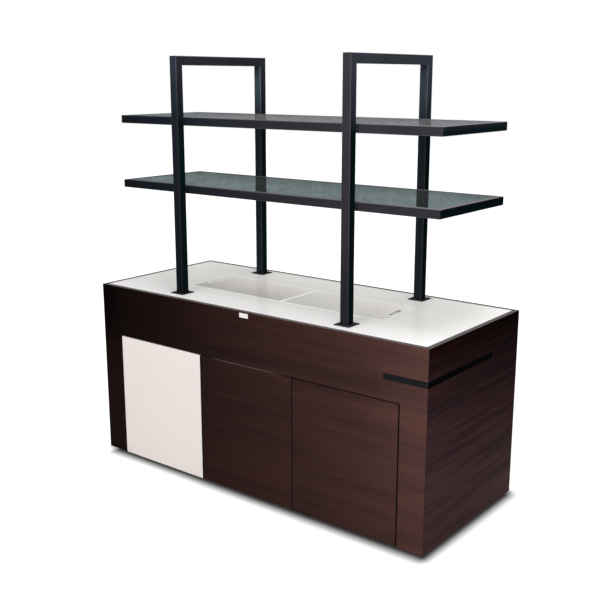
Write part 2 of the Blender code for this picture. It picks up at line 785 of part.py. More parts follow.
def glass_shelf(name, low):
    """Four mitred tubes, each with a ledge welded inside it, round a pane of glass."""
    level = low + RAIL_HEIGHT / 2
    ledge_low, ledge_high = low + LEDGE_LIFT, low + LEDGE_LIFT + LEDGE_SHEET
    inset = RAIL_WIDTH / 2
    right, left = SHELF_END - RAIL_WIDTH, -SHELF_END + RAIL_WIDTH
    front, back = SHELF_FRONT + RAIL_WIDTH, SHELF_BACK - RAIL_WIDTH
    across = 2 * SHELF_END - 2 * FIT
    for row, face, inwards in (("front", front, 1), ("back", back, -1)):
        rail_name = f"{name}_{row}_rail"
        place = at(0, face - inwards * inset, level) @ turn_about("Y", 90)
        section = (RAIL_HEIGHT, RAIL_WIDTH)
        rail = square_tube(rail_name, across, section, place, (0, inwards), (1, -1))
        ys = sorted((face - inwards * TUBE_WALL / 2, face + inwards * LEDGE_WIDTH))
        join_block(
            rail,
            f"{rail_name}_ledge",
            (left + FIT, ys[0], ledge_low),
            (right - FIT, ys[1], ledge_high),
        )
    along = SHELF_BACK - SHELF_FRONT - 2 * FIT
    middle = (SHELF_FRONT + SHELF_BACK) / 2
    for row, face, inwards in (("left", left, 1), ("right", right, -1)):
        rail_name = f"{name}_{row}_rail"
        place = at(face - inwards * inset, middle, level) @ turn_about("X", -90)
        section = (RAIL_WIDTH, RAIL_HEIGHT)
        rail = square_tube(rail_name, along, section, place, (inwards, 0), (1, -1))
        xs = sorted((face - inwards * TUBE_WALL / 2, face + inwards * LEDGE_WIDTH))
        join_block(
            rail,
            f"{rail_name}_ledge",
            (xs[0], front + LEDGE_WIDTH + FIT, ledge_low),
            (xs[1], back - LEDGE_WIDTH - FIT, ledge_high),
        )
    block(
        f"{name}_glass",
        (left + GLASS_PLAY, front + GLASS_PLAY, low + GLASS_LIFT),
        (right - GLASS_PLAY, back - GLASS_PLAY, low + GLASS_LIFT + GLASS),
        "tinted_glass",
    )


def build():
    outer_boards()
    label_plate()
    bottom_and_feet()
    bays()
    bearers()
    for index in range(len(DOORS)):
        hinged_door(index)
        push_latch(index)
    countertop()
    for side, sign in SIDES:
        well(side, sign)
        lid(side, sign)
        hoop(side, sign)
    for name, low in SHELVES:
        glass_shelf(name, low)


build()
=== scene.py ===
"""The looks of a back bar: dark boards, doors, a white top, hoops and glass shelves.

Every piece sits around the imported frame, in metres, with +Z up and the front towards -Y.
"""

import json
import math

import bpy
from bpy.props import FloatProperty, FloatVectorProperty, PointerProperty
from bpy.types import Operator, Panel, PropertyGroup
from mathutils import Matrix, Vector

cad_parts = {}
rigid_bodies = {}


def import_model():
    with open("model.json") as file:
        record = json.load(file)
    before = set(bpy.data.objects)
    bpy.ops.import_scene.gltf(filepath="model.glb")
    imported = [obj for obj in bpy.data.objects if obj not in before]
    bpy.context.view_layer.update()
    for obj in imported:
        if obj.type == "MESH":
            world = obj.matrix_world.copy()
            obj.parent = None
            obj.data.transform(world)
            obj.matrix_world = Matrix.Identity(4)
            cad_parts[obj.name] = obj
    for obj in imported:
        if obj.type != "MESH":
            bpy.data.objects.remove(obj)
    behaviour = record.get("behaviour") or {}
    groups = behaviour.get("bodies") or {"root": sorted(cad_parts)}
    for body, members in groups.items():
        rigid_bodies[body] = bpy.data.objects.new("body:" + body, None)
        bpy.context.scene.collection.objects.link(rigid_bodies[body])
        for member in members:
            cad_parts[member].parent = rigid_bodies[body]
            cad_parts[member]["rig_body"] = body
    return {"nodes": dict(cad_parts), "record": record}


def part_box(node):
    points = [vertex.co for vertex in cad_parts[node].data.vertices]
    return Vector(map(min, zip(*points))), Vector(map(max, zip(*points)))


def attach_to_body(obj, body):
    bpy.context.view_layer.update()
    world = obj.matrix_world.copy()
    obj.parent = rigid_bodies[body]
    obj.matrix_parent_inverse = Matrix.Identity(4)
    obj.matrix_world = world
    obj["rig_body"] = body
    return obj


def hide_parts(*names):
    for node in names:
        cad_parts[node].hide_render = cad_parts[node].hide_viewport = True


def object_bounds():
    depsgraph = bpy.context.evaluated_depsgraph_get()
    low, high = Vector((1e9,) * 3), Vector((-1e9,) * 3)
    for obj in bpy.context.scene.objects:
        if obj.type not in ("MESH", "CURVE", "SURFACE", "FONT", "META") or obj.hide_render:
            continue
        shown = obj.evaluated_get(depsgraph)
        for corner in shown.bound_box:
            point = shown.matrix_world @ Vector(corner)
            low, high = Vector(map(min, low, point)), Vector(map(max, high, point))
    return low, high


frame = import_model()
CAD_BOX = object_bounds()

bl_info = {
    "name": "Back bar",
    "version": (1, 0, 0),
    "blender": (4, 5, 0),
    "location": "View3D > Sidebar > Back bar",
    "description": "Dresses a back bar around its packed frame",
    "category": "Object",
}

NODES = frame["nodes"]
SLOT_OF = {part["node"]: part["material_slot"] for part in frame["record"]["subparts"]}
MERGE = 0.000002
FLAT = math.radians(0.2)
SHARP = math.radians(40)
SMOOTH = math.radians(60)
FACING = 0.9
SQUARE_ON = 0.97
BESIDE = 0.01


def length(name, default, description):
    return FloatProperty(name=name, description=description, default=default, min=0.0, unit="LENGTH")


def colour(name, default, description):
    return FloatVectorProperty(
        name=name, description=description, default=default, min=0.0, max=1.0, size=3, subtype="COLOR"
    )


def power(name, default, description):
    return FloatProperty(name=name, description=description, default=default, min=0.0, unit="POWER")


class BackBarSizes(PropertyGroup):
    """Sizes of the details that the frame leaves plain."""

    board_round: length("Board edge", 0.0008, "Round on the edges of the dark boards and the doors")
    top_round: length("Top edge", 0.0008, "Round on the edges of the white top")
    # Width of the painted shadow along a door's right-hand gap.
    door_shadowing: length("Door lipping", 0.0035, "Width of the dark lipping on a door's right-hand edge")
    lid_round: length("Lid edge", 0.0006, "Round on the edges of the lids")
    lid_edging: length("Lid edging", 0.0090, "Width of the white edging round a lid")
    # Width of the painted shadow line of the gap between the front board's band and the top.
    rim_border: length("Rim border", 0.0050, "Dark line between the front board's band and the top")
    pull_wall: length("Finger pull wall", 0.0025, "Wall of the linings of the finger slots")
    pull_depth: length("Finger pull depth", 0.0100, "How far a lining reaches down into its slot")
    pull_rise: length("Finger pull rise", 0.0012, "How far a lining's flange stands over its lid")
    pull_flange: length("Finger pull flange", 0.0050, "Width of a lining's flange beyond its slot")
    plate_screw: length("Base plate screw", 0.0046, "Radius of the screw heads in the base plates")
    plate_screw_inset: length("Screw inset", 0.0105, "From a base plate's edges to the middle of a screw")
    hinge_screw: length("Hinge screw", 0.0034, "Radius of the screw heads in the hinges")
    inner_round: length("Inner board edge", 0.0006, "Round on the edges of the boards inside")
    glass_arris: length("Glass edge", 0.0010, "Polished edge of the glass")
    tube_round: length("Tube end", 0.0005, "Round on the cut ends of the tubes")
    plate_round: length("Base plate edge", 0.0009, "Round on the edges of the base plates")
    trim_round: length("Trim edge", 0.0003, "Round on the edges of the strip and the label")
    fitting_round: length("Fitting edge", 0.0003, "Round on the edges of hinges and latches")
    well_round: length("Well edge", 0.0005, "Round on the edges of the steel wells")


class BackBarColours(PropertyGroup):
    """Colours of the finishes."""

    dark_streak: colour("Dark streak", (0.050, 0.0270, 0.0250), "Darkest streaks of the laminate")
    brown: colour("Brown", (0.076, 0.0365, 0.0320), "Ground of the laminate")
    red_streak: colour("Red streak", (0.106, 0.0455, 0.0385), "Palest streaks of the laminate")
    # Painted light: these casts give the end boards painted shade near the top and a painted floor
    # reflection near the floor.
    end_low: colour("End, low", (0.63, 0.74, 0.90), "Cast of the end boards near the floor")
    end_middle: colour("End, middle", (0.405, 0.420, 0.530), "Cast of the end boards half way up")
    end_high: colour("End, high", (0.062, 0.041, 0.040), "Cast of the end boards near the top")
    rim: colour("Rim", (0.088, 0.076, 0.078), "Edge band on top of the boards")
    # Painted shade: this near black stands for the shadow in the gaps round the doors and beside the top.
    gap_shade: colour("Door edge", (0.010, 0.006, 0.006), "Edges and lippings of the doors and doorway")
    # Painted highlight on the upper edge of the middle door.
    painted_edge_highlight: colour("Worn edge", (0.25, 0.24, 0.24), "Upper edge of the middle door where it is rubbed")
    white_door: colour("White door", (0.945, 0.873, 0.833), "Laminate of the white door")
    white_top: colour("White top", (0.840, 0.825, 0.815), "Gloss laminate of the top")
    # Painted shade: the left lid is darker than the right one.
    left_lid: colour("Left lid", (0.690, 0.662, 0.634), "Face of the left lid")
    right_lid: colour("Right lid", (0.720, 0.696, 0.672), "Face of the right lid")
    white_edging: colour("White edging", (0.99, 0.98, 0.97), "Edging of the lids")
    finger_pull: colour("Finger pull", (0.88, 0.85, 0.83), "Linings of the finger slots")
    # Painted light and shade: the tubes have one paint, whose colour here changes from left to right and
    # from front to back; the edge colours are painted highlights on the rounded edges.
    front_left_coat: colour("Front left coat", (0.0107, 0.0145, 0.0199), "Front tubes at the left")
    front_right_coat: colour("Front right coat", (0.0385, 0.0355, 0.0455), "Front tubes at the right")
    back_left_coat: colour("Back left coat", (0.0130, 0.0190, 0.0240), "Back tubes at the left")
    back_right_coat: colour("Back right coat", (0.0140, 0.0175, 0.0225), "Back tubes at the right")
    front_left_edge: colour("Front left edge", (0.027, 0.029, 0.035), "Rubbed edges of front tubes, left")
    front_right_edge: colour("Front right edge", (0.085, 0.083, 0.095), "Rubbed edges of front tubes, right")
    back_left_edge: colour("Back left edge", (0.040, 0.045, 0.054), "Rubbed edges of back tubes, left")
    back_right_edge: colour("Back right edge", (0.038, 0.042, 0.050), "Rubbed edges of back tubes, right")
    # Painted shade on the tubes' right-hand sides, nearly black low and lighter towards the top.
    side_low: colour("Side, low", (0.0042, 0.0105, 0.0135), "Right-hand sides of tubes to the upper shelf")
    side_middle: colour("Side, middle", (0.026, 0.032, 0.042), "Right-hand sides of tubes above that shelf")
    side_high: colour("Side, high", (0.055, 0.059, 0.078), "Right-hand sides of tubes at the top")
    # Painted light on the tubes' top faces.
    lit_top_coat: colour("Dusty coat", (0.110, 0.098, 0.106), "Powder coat on top of the tubes, under dust")
    # Painted shade: the shaded strip is the strip's face on the end board.
    strip: colour("Strip", (0.0078, 0.0082, 0.0094), "Paint of the flat strip")
    shaded_strip: colour("Shaded strip", (0.0020, 0.0025, 0.0028), "Paint of the strip on the end board")
    label: colour("Label", (0.92, 0.90, 0.88), "Blank plate on the band")
    glass: colour("Glass", (0.012, 0.016, 0.017), "Body of the tinted glass")
    # Painted reflection: the two panes are one glass, with a different sheen on each.
    lower_sheen: colour("Lower sheen", (0.70, 0.89, 0.91), "Sheen of the lower glass")
    upper_sheen: colour("Upper sheen", (0.465, 0.495, 0.525), "Sheen of the upper glass")
    screw: colour("Screw", (0.060, 0.060, 0.064), "Blackened steel of the screws in the base plates")
    steel: colour("Steel", (0.56, 0.57, 0.58), "Stainless steel of the wells")
    zinc: colour("Zinc", (0.52, 0.52, 0.50), "Plating of the hinges")
    plastic: colour("Plastic", (0.26, 0.26, 0.27), "Moulded plastic of latches and feet")
    rubber: colour("Rubber", (0.018, 0.018, 0.018), "Tips of the latches")
    melamine: colour("Melamine", (0.60, 0.58, 0.55), "Boards inside the cabinet")
    timber: colour("Timber", (0.46, 0.32, 0.19), "Bearers under the top")


class BackBarStage(PropertyGroup):
    """Light and floor."""

    front_power: power("Front light", 105.0, "Power of the soft light in front")
    upper_power: power("Upper light", 90.0, "Power of the soft light overhead")
    sky: FloatProperty(name="Sky", description="Strength of the even light", default=0.38, min=0.0)
    floor: colour("Floor", (0.50, 0.50, 0.50), "Light that the pale floor throws back")


class Wire:
    """A value in a node tree. Arithmetic on it adds Math nodes."""

    def __init__(self, nodes, socket):
        self.nodes = nodes
        self.socket = socket

    def reckon(self, operation, first, second):
        return self.nodes.node("ShaderNodeMath", {"operation": operation}, {0: first, 1: second})

    def __add__(self, other):
        return self.reckon("ADD", self, other)

    __radd__ = __add__

    def __sub__(self, other):
        return self.reckon("SUBTRACT", self, other)

    def __rsub__(self, other):
        return self.reckon("SUBTRACT", other, self)

    def __mul__(self, other):
        return self.reckon("MULTIPLY", self, other)

    __rmul__ = __mul__

    def __pow__(self, other):
        return self.reckon("POWER", self, other)

    def __rpow__(self, other):
        return self.reckon("POWER", other, self)


class Nodes:
    """The node tree of a material or of the sky."""

    def __init__(self, tree):
        self.tree = tree

    def feed(self, socket, value):
        """Links a wire to a socket, or writes a plain value on it."""
        if isinstance(value, Wire):
            self.tree.links.new(value.socket, socket)
        elif socket.type == "RGBA" and len(value) == 3:
            socket.default_value = (*value, 1.0)
        else:
            socket.default_value = value

    def node(self, kind, settings=None, inputs=None, output=0):
        """Any node: its settings come first, then the values or links of its sockets."""
        made = self.tree.nodes.new(kind)
        for name, value in (settings or {}).items():
            if name == "stops":
                self.set_stops(made.color_ramp, value)
            else:
                setattr(made, name, value)
        for name, value in (inputs or {}).items():
            self.feed(made.inputs[name], value)
        return Wire(self, made.outputs[output])

    def set_stops(self, ramp, stops):
        while len(ramp.elements) < len(stops):
            ramp.elements.new(0.5)
        for element, (position, shade) in zip(ramp.elements, stops):
            element.position = position
            element.color = (*shade, 1.0)

    def rays(self, *names):
        """1 for the named kinds of ray, and 0 for the others."""
        path = self.tree.nodes.new("ShaderNodeLightPath")
        first, *others = [Wire(self, path.outputs[name]) for name in names]
        for other in others:
            first = self.node("ShaderNodeMath", {"operation": "MAXIMUM"}, {0: first, 1: other})
        return first

    def close(self, output, shader):
        """Ends the tree with a shader."""
        self.feed(self.tree.nodes[output].inputs[0], shader)


class Finish(Nodes):
    """A procedural material around one Principled shader."""

    def __init__(self, name, **constants):
        self.material = bpy.data.materials.new(name)
        self.material.use_nodes = True
        super().__init__(self.material.node_tree)
        self.shader = self.tree.nodes["Principled BSDF"]
        self.place = self.node("ShaderNodeTexCoord", output="Object")
        for socket, value in constants.items():
            self.set(socket.replace("_", " "), value)

    def set(self, name, value):
        self.feed(self.shader.inputs[name], value)

    def axes(self):
        split = self.tree.nodes.new("ShaderNodeSeparateXYZ")
        self.feed(split.inputs[0], self.place)
        return [Wire(self, socket) for socket in split.outputs]

    def noise(self, scale, detail=2.0, roughness=0.5, shift=(0.0, 0.0, 0.0), twist=0.0, turn=0.0):
        """Noise whose grains per metre are given along X, Y and Z, after a turn about Z."""
        inputs = {"Vector": self.place, "Angle": turn}
        turned = self.node("ShaderNodeVectorRotate", {"rotation_type": "Z_AXIS"}, inputs)
        place = self.node("ShaderNodeMapping", None, {"Vector": turned, "Location": shift, "Scale": scale})
        inputs = {
            "Vector": place,
            "Scale": 1.0,
            "Detail": detail,
            "Roughness": roughness,
            "Distortion": twist,
        }
        return self.node("ShaderNodeTexNoise", None, inputs)

    def ramp(self, factor, stops):
        return self.node("ShaderNodeValToRGB", {"stops": stops}, {0: factor})

    def shade(self, tint, amount):
        """A colour made darker or lighter by a number."""
        return self.node("ShaderNodeVectorMath", {"operation": "SCALE"}, {0: tint, 3: amount})

    def cast(self, tint, other):
        """A colour seen through another."""
        return self.node("ShaderNodeVectorMath", {"operation": "MULTIPLY"}, {0: tint, 1: other})

    def spread(self, value, low, high, to_low, to_high):
        """A value moved from one range to another, smoothly and without passing its ends."""
        inputs = {0: value, 1: low, 2: high, 3: to_low, 4: to_high}
        return self.node("ShaderNodeMapRange", {"interpolation_type": "SMOOTHSTEP"}, inputs)

    def bump(self, height, strength, distance):
        inputs = {"Strength": strength, "Distance": distance, "Height": height}
        self.set("Normal", self.node("ShaderNodeBump", None, inputs))


def colours():
    return bpy.context.scene.back_bar_colours


def sizes():
    return bpy.context.scene.back_bar_sizes


# Finishes


def streaked_laminate(name, along, tone, shift=(0.0, 0.0, 0.0), contrast=1.0, specular=0.005):
    """Dark laminate with long streaks along X or Y. Tone shades it over the board."""
    finish = Finish(name, Specular_IOR_Level=specular, Specular_Tint=(0.60, 0.48, 0.46))

    def grains(lengthwise, crosswise):
        return [lengthwise if axis == along else crosswise for axis in "XYZ"]

    bands = finish.noise(grains(1.1, 18.0), 4.0, 0.6, shift)
    streaks = finish.noise(grains(3.4, 95.0), 4.0, 0.6, shift, 0.15)
    pores = finish.noise(grains(14.0, 420.0), 2.0, 0.5, shift)
    figure = bands * 0.66 + streaks * 0.20 + pores * 0.14
    shades = colours()
    step = 0.16 / contrast
    stops = [(0.5 - step, shades.dark_streak), (0.5, shades.brown), (0.5 + step, shades.red_streak)]
    finish.set("Base Color", tone(finish, finish.ramp(figure, stops)))
    finish.set("Roughness", 0.36 + streaks * 0.16)
    finish.bump(pores, 0.10, 0.0004)
    return finish.material


def front_painted_light(finish, tint):
    """Painted light and shade: lighter to the right, and darkest in the upper left corner."""
    x, y, z = finish.axes()
    corner = finish.spread(x, 0.2, -1.0, 0.0, 1.0) * finish.spread(z, 0.35, 0.92, 0.0, 0.8)
    stile = finish.spread(x, -0.8, -1.0, 0.0, 1.0) * finish.spread(z, 0.5, 0.9, 0.0, 1.3)
    edge = finish.spread(x, 0.6, 0.97, 0.0, 0.22) * finish.spread(z, 0.05, 0.5, 0.0, 1.0)
    return finish.shade(tint, math.e ** (x * 0.95 - 0.92 + edge - corner - stile))


def end_painted_light(finish, tint):
    """Deep red brown with strong streaks near the top. Painted shade darkens it towards the top, and near
    the floor a painted reflection of the floor makes it paler and hazy.
    """
    shades = colours()
    x, y, z = finish.axes()
    stops = [(0.10, shades.end_low), (0.50, shades.end_middle), (0.90, shades.end_high)]
    streaks = finish.noise((1.0, 1.3, 46.0), 4.0, 0.65, (2.0, 0.0, 6.0)) - 0.5
    strength = streaks * finish.spread(z, 0.35, 0.95, 0.4, 3.2)
    # Painted shade: towards the back it grows darker near the top and lighter near the floor.
    painted_lean = y * (z * 2.4 - 0.5)
    return finish.shade(finish.cast(tint, finish.ramp(z, stops)), 2.0 * math.e ** (strength - painted_lean))


def back_tone(finish, tint):
    """A little darker near the top."""
    return finish.shade(tint, math.e ** (finish.axes()[2] * -0.5 - 0.7))


def edging(name, tint):
    """Thin edge band of the dark boards. With the gap shade colour it paints the shadow in the gaps."""
    finish = Finish(name, Specular_IOR_Level=0.05)
    streaks = finish.noise((30.0, 30.0, 200.0), 3.0, 0.55)
    finish.set("Base Color", finish.shade(tint, 0.8 + streaks * 0.4))
    finish.set("Roughness", 0.40 + streaks * 0.15)
    finish.bump(streaks, 0.05, 0.0003)
    return finish.material


def painted_edge_highlight(name, node):
    """Painted highlight on an edge band along X, palest in the middle of a frame node's length."""
    low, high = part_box(node)
    finish = Finish(name, Specular_IOR_Level=0.05, Roughness=0.5)
    streaks = finish.noise((30.0, 30.0, 200.0), 3.0, 0.55)
    past = (finish.axes()[0] - (low.x + high.x) / 2) * (2 / (high.x - low.x))
    highlighted = finish.spread(past * past, 0.1, 0.75, 1.0, 0.04) * (0.8 + streaks * 0.4)
    finish.set("Base Color", finish.shade(colours().painted_edge_highlight, highlighted))
    return finish.material


def smooth_laminate(name, tint, roughness, painted_lean=(0.0, 0.0, 0.0), specular=0.12):
    """Pale laminate with faint mottling and the marks of wiping.

    Its slope is painted light and shade, which makes it lighter along X, along Y and towards both ends.
    """
    finish = Finish(name, Specular_IOR_Level=specular)
    mottle = finish.noise((5.0, 5.0, 5.0), 4.0, 0.6)
    streaking = finish.noise((3.0, 16.0, 16.0), 3.0, 0.55)
    specks = finish.noise((900.0, 900.0, 900.0), 1.0)
    x, y, z = finish.axes()
    slope = x * painted_lean[0] + y * painted_lean[1] + x * x * painted_lean[2]
    finish.set("Base Color", finish.shade(tint, 0.965 + mottle * 0.05 + specks * 0.02 + slope))
    finish.set("Roughness", roughness * (0.75 + streaking * 0.5))
    finish.bump(specks, roughness * 0.1, 0.0002)
    return finish.material


def powder_coat(name, tone, specular=0.004):
    """Satin powder coat: a fine orange-peel skin with slow changes of sheen."""
    finish = Finish(name, Specular_IOR_Level=specular, Specular_Tint=(0.70, 0.72, 0.80))
    slow = finish.noise((6.0, 6.0, 6.0), 3.0)
    skin = finish.noise((700.0, 700.0, 700.0), 2.0)
    finish.set("Base Color", finish.shade(tone(finish), 0.8 + slow * 0.4))
    finish.set("Roughness", 0.34 + slow * 0.12 + skin * 0.06)
    finish.bump(skin, 0.12, 0.0003)
    return finish.material


def rightward_painted_light(tint):
    """Painted light: a tone that grows lighter to the right."""
    return lambda finish: finish.shade(tint, math.e ** (finish.axes()[0] * 0.6))


def across(left, right, rise):
    """Painted light and shade: a tone that runs from the left hoop's shade to the right one's, and changes
    upwards with rise.
    """

    def tone(finish):
        tint = finish.ramp(finish.axes()[0] * 0.5 + 0.5, [(0.22, left), (0.76, right)])
        return finish.shade(tint, rise(finish))

    return tone


def front_rise(finish):
    """Painted shade and light: darker near the foot and the left-hand end, and lighter near the top of the
    left hoop.
    """
    x, y, z = finish.axes()
    foot = finish.spread(z, 0.95, 1.4, 0.68, 1.0)
    end = finish.spread(x, -0.95, -0.6, 0.7, 1.0)
    left_top = finish.spread(x, 0.3, -0.5, 0.0, 0.85) * finish.spread(z, 1.7, 2.1, 0.0, 1.0)
    return foot * end * math.e ** (left_top + (z - 1.9) * 0.3)


def back_rise(finish):
    """Painted light: lighter over the upper shelf."""
    return math.e ** finish.spread(finish.axes()[2], 1.7, 1.95, 0.0, 1.15)


def side_painted_shade(finish):
    """Painted shade on the right-hand sides: nearly black up to the upper shelf, then lighter, and there
    lighter to the right.
    """
    shades = colours()
    x, y, z = finish.axes()
    stops = [(0.335, shades.side_low), (0.44, shades.side_middle), (0.90, shades.side_high)]
    painted_lean = (x - 0.51) * finish.spread(z, 1.70, 1.84, 0.0, 0.85)
    return finish.shade(finish.ramp((z - 1.6) * 2.0, stops), math.e ** painted_lean)


def tinted_glass(name, sheen):
    """Dark grey-green glass with streaks, partly wipe marks and partly painted reflection. At a low angle it
    mirrors more and its dust shows.
    """
    finish = Finish(name, Specular_IOR_Level=0.0, Roughness=0.05)
    streaking = finish.noise((48.0, 4.0, 1.0), 4.0, 0.65, twist=0.6, turn=math.radians(-38))
    smears = finish.noise((7.0, 4.0, 1.0), 3.0)
    slant = finish.node("ShaderNodeFresnel", None, {"IOR": 1.5})
    body = finish.shade(colours().glass, 0.7 + streaking * 0.6)
    dust = slant ** 4.0 * (0.10 + streaking * 0.22)
    finish.set("Base Color", finish.node("ShaderNodeVectorMath", {"operation": "ADD"}, {0: body, 1: dust}))
    finish.set("Alpha", 0.985 - streaking * 0.02)
    x, y, z = finish.axes()
    # Painted reflection: the mirror grows weaker towards the back and stronger to the right.
    depth = finish.spread(y, 0.28, -0.12, 0.74, 1.10) * (x * 0.08 + 1.0)
    gloss = (slant * 0.179 + 0.086) * (0.25 + streaking * 0.9 + smears * 0.6) * depth
    mirror = finish.node("ShaderNodeBsdfGlossy", None, {"Color": sheen, "Roughness": 0.05})
    inputs = {0: gloss, 1: Wire(finish, finish.shader.outputs[0]), 2: mirror}
    pane = finish.node("ShaderNodeMixShader", None, inputs)
    passed = finish.node("ShaderNodeBsdfTransparent", None, {"Color": (0.86, 0.865, 0.855)})
    inputs = {0: finish.rays("Is Shadow Ray", "Is Diffuse Ray"), 1: pane, 2: passed}
    finish.close("Material Output", finish.node("ShaderNodeMixShader", None, inputs))
    return finish.material


def brushed_metal(name, tint, along, roughness):
    """Bare metal with fine brush lines along one axis."""
    finish = Finish(name, Metallic=1.0)
    lines = finish.noise([6.0 if axis == along else 700.0 for axis in "XYZ"], 3.0, 0.6)
    clouds = finish.noise((9.0, 9.0, 9.0), 3.0)
    finish.set("Base Color", finish.shade(tint, 0.80 + lines * 0.22 + clouds * 0.18))
    finish.set("Roughness", roughness - 0.08 + lines * 0.14 + clouds * 0.08)
    finish.bump(lines, 0.08, 0.0002)
    return finish.material


def moulded(name, tint, roughness):
    """Moulded plastic or rubber with a fine grain."""
    finish = Finish(name, Specular_IOR_Level=0.35)
    clouds = finish.noise((30.0, 30.0, 30.0), 3.0)
    grain = finish.noise((1500.0, 1500.0, 1500.0), 2.0)
    finish.set("Base Color", finish.shade(tint, 0.82 + clouds * 0.26 + grain * 0.10))
    finish.set("Roughness", roughness + grain * 0.12)
    finish.bump(grain, 0.15, 0.0002)
    return finish.material


def planed_timber(name):
    """Softwood with rings drawn out along X."""
    finish = Finish(name, Specular_IOR_Level=0.25)
    drift = finish.noise((1.2, 9.0, 9.0), 3.0)
    rings = finish.node("ShaderNodeMath", {"operation": "SINE"}, {0: drift * 60.0})
    fibre = finish.noise((12.0, 600.0, 600.0), 2.0)
    tint = colours().timber
    finish.set("Base Color", finish.shade(tint, 0.86 + rings * 0.10 + fibre * 0.24))
    finish.set("Roughness", 0.55 + fibre * 0.2)
    finish.bump(fibre, 0.2, 0.0004)
    return finish.material


# Modelling


def deselect():
    if bpy.context.object and bpy.context.object.mode != "OBJECT":
        bpy.ops.object.mode_set(mode="OBJECT")
    bpy.ops.object.select_all(action="DESELECT")


def pick(piece):
    deselect()
    piece.select_set(True)
    bpy.context.view_layer.objects.active = piece


def edit(piece, kind="FACE"):
    """Opens a piece in edit mode with nothing selected."""
    pick(piece)
    bpy.ops.object.mode_set(mode="EDIT")
    bpy.ops.mesh.select_mode(type=kind)
    bpy.ops.mesh.select_all(action="DESELECT")


def leave():
    bpy.ops.object.mode_set(mode="OBJECT")


def select_faces(piece, test):
    """Selects the faces of a piece in edit mode that pass a test on their centre and normal."""
    leave()
    for face in piece.data.polygons:
        face.select = test(face.center, face.normal)
    bpy.ops.object.mode_set(mode="EDIT")


def merged_copy(node):
    """A copy of a frame node with its loose triangles merged into flat faces."""
    pick(NODES[node])
    bpy.ops.object.duplicate()
    piece = bpy.context.object
    piece.parent = None
    for key in list(piece.keys()):
        del piece[key]
    piece.name = node + "_finished"
    piece.data.materials.clear()
    edit(piece)
    bpy.ops.mesh.select_all(action="SELECT")
    bpy.ops.mesh.customdata_custom_splitnormals_clear()
    bpy.ops.mesh.remove_doubles(threshold=MERGE)
    bpy.ops.mesh.dissolve_limited(angle_limit=FLAT)
    leave()
    return piece


def round_edges(piece, radius, steps=2):
    """Rounds the sharp edges, and keeps the flat faces flat in the light."""
    edit(piece, "EDGE")
    bpy.ops.mesh.edges_select_sharp(sharpness=SHARP)
    bpy.ops.mesh.bevel(offset=radius, segments=steps, affect="EDGES", clamp_overlap=True)
    leave()
    bpy.ops.object.shade_smooth_by_angle(angle=SMOOTH)
    even = piece.modifiers.new("Even light", "WEIGHTED_NORMAL")
    even.keep_sharp = True
    bpy.ops.object.modifier_apply(modifier=even.name)


def attach(piece, node, *finishes):
    """Gives a piece its finishes, and lets it move with a frame node."""
    piece.data.materials.clear()
    for finish in finishes:
        piece.data.materials.append(finish)
    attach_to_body(piece, NODES[node]["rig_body"])


def settle(piece, node, *finishes):
    """Gives a piece its finishes and the place of a frame node."""
    attach(piece, node, *finishes)
    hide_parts(node)


def dress(nodes, radius, finish):
    """Finished copies of frame nodes with rounded edges."""
    made = []
    for node in nodes:
        piece = merged_copy(node)
        round_edges(piece, radius)
        settle(piece, node, finish)
        made.append(piece)
    return made


def repaint(piece, finish, test):
    """Gives another finish to the faces that pass a test on their centre and normal."""
    piece.data.materials.append(finish)
    for face in piece.data.polygons:
        if test(face.center, face.normal):
            face.material_index = len(piece.data.materials) - 1


def on_arris(centre, normal):
    """True on the rounded edges of a square piece."""
    return max(abs(part) for part in normal) < SQUARE_ON


def on_upper(centre, normal):
    return normal.z > FACING


def hoop_tone(place, kind):
    """The painted light and shade of the faces (coat), or the painted highlights on the rounded edges
    (edge), of tubes at the front or at the back.
    """
    left, right = (getattr(colours(), f"{place}_{side}_{kind}") for side in ("left", "right"))
    return across(left, right, front_rise if place == "front" else back_rise)


def dress_tubes(name, nodes):
    """Finished tubes with painted shade on their right-hand sides, painted highlights on their rounded edges
    and painted light on their tops.
    """
    for place in ("front", "back"):
        label = f"{name}_{place}"
        coat = powder_coat(label + "_coat", hoop_tone(place, "coat"))
        shaded = powder_coat(label + "_side_coat", side_painted_shade, 0.0)
        highlighted = powder_coat(label + "_rubbed_coat", hoop_tone(place, "edge"))
        lit_top = powder_coat(label + "_dusty_coat", rightward_painted_light(colours().lit_top_coat))
        chosen = [node for node in nodes if ("back" in node) == (place == "back")]
        for piece in dress(chosen, sizes().tube_round, coat):
            repaint(piece, shaded, lambda centre, normal: normal.x > SQUARE_ON)
            repaint(piece, highlighted, on_arris)
            repaint(piece, lit_top, on_upper)


SCREW_SIDES = 24
SCREW_HEIGHT = 0.5  # of its radius
SCREW_WALL = 0.22  # of its radius, round the socket
SCREW_ROUND = 0.6  # of its height
SCREW_SOCKET = 0.6  # of its height


def screw_head(radius):
    """A low round screw head with a socket, on the origin and upright."""
    height = radius * SCREW_HEIGHT
    middle = (0.0, 0.0, height / 2)
    deselect()
    bpy.ops.mesh.primitive_cylinder_add(vertices=SCREW_SIDES, radius=radius, depth=height, location=middle)
    head = bpy.context.object
    bpy.ops.object.transform_apply()
    edit(head)
    select_faces(head, on_upper)
    bpy.ops.mesh.bevel(offset=height * SCREW_ROUND, segments=3, affect="EDGES")
    select_faces(head, on_upper)
    bpy.ops.mesh.inset(thickness=radius * SCREW_WALL)
    bpy.ops.mesh.extrude_region_move(TRANSFORM_OT_translate={"value": (0.0, 0.0, -height * SCREW_SOCKET)})
    leave()
    bpy.ops.object.shade_smooth_by_angle(angle=SHARP)
    return head


def set_screws(name, head, places, turn, node, finish):
    """Copies of a screw head at their places on a frame node, as one piece."""
    copies = []
    for place in places:
        pick(head)
        bpy.ops.object.duplicate()
        bpy.context.object.location = place
        bpy.context.object.rotation_euler = turn
        copies.append(bpy.context.object)
    for copy in copies:
        copy.select_set(True)
    bpy.ops.object.join()
    bpy.ops.object.transform_apply()
    piece = bpy.context.object
    piece.name = name
    attach(piece, node, finish)


# Pieces


